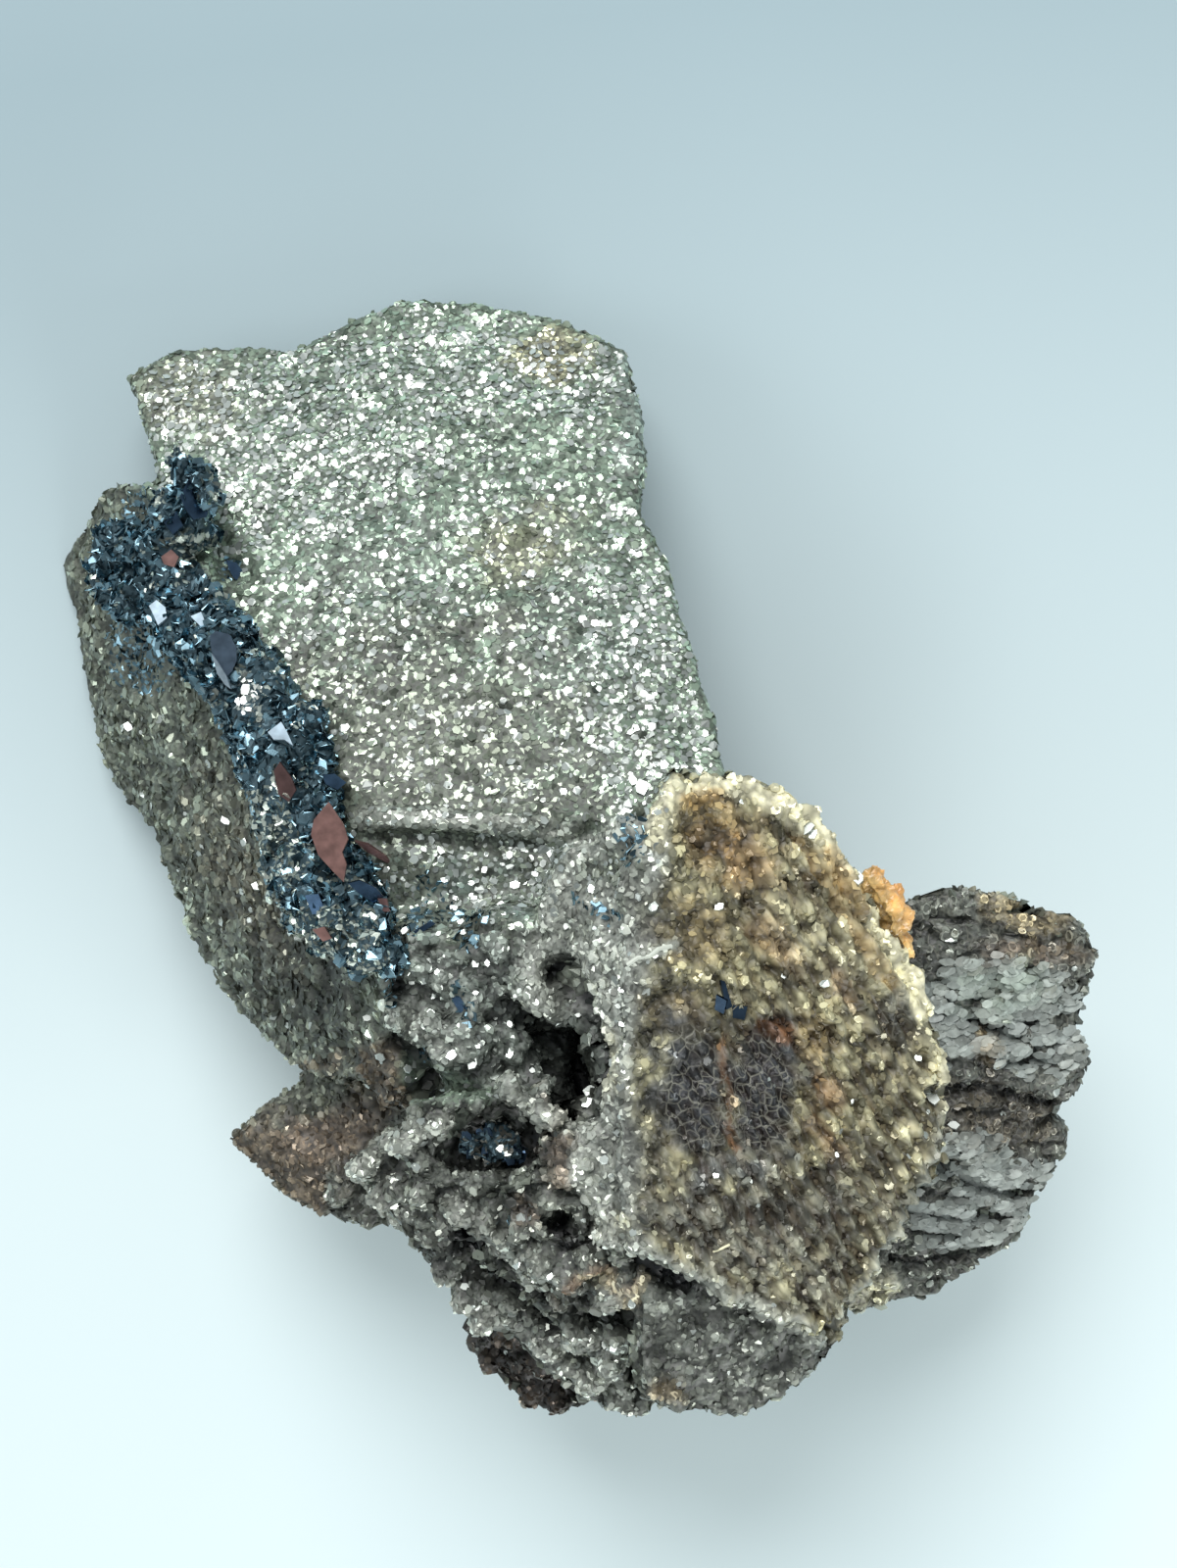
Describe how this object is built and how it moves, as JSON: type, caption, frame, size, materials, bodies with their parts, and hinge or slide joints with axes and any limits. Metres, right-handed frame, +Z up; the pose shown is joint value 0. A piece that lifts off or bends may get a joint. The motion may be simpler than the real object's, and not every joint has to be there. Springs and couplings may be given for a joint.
{
  "type": "hematite specimen",
  "caption": "Mineral specimen of intergrown drusy plates with a crust of blue-black hematite blades; lies on its flat broken base as a display piece.",
  "frame": {"origin": "middle of the flat broken face that the specimen lies on", "axes": "+Z up from the resting face; +Y towards the top of the tall back plate; +X towards the two small right plates"},
  "size_m": [0.0754, 0.0815, 0.0354],
  "materials": {
    "druse": "rough, covered with sparkling flakes",
    "hematite": "metallic, mirror-bright blades",
    "iron_stained": "glassy, stained orange-brown"
  },
  "bodies": {
    "root": {"drusy_plates": "druse", "hematite_crust": "hematite", "hollow_hematite": "hematite", "stained_crystal": "iron_stained"}
  },
  "joints": []
}
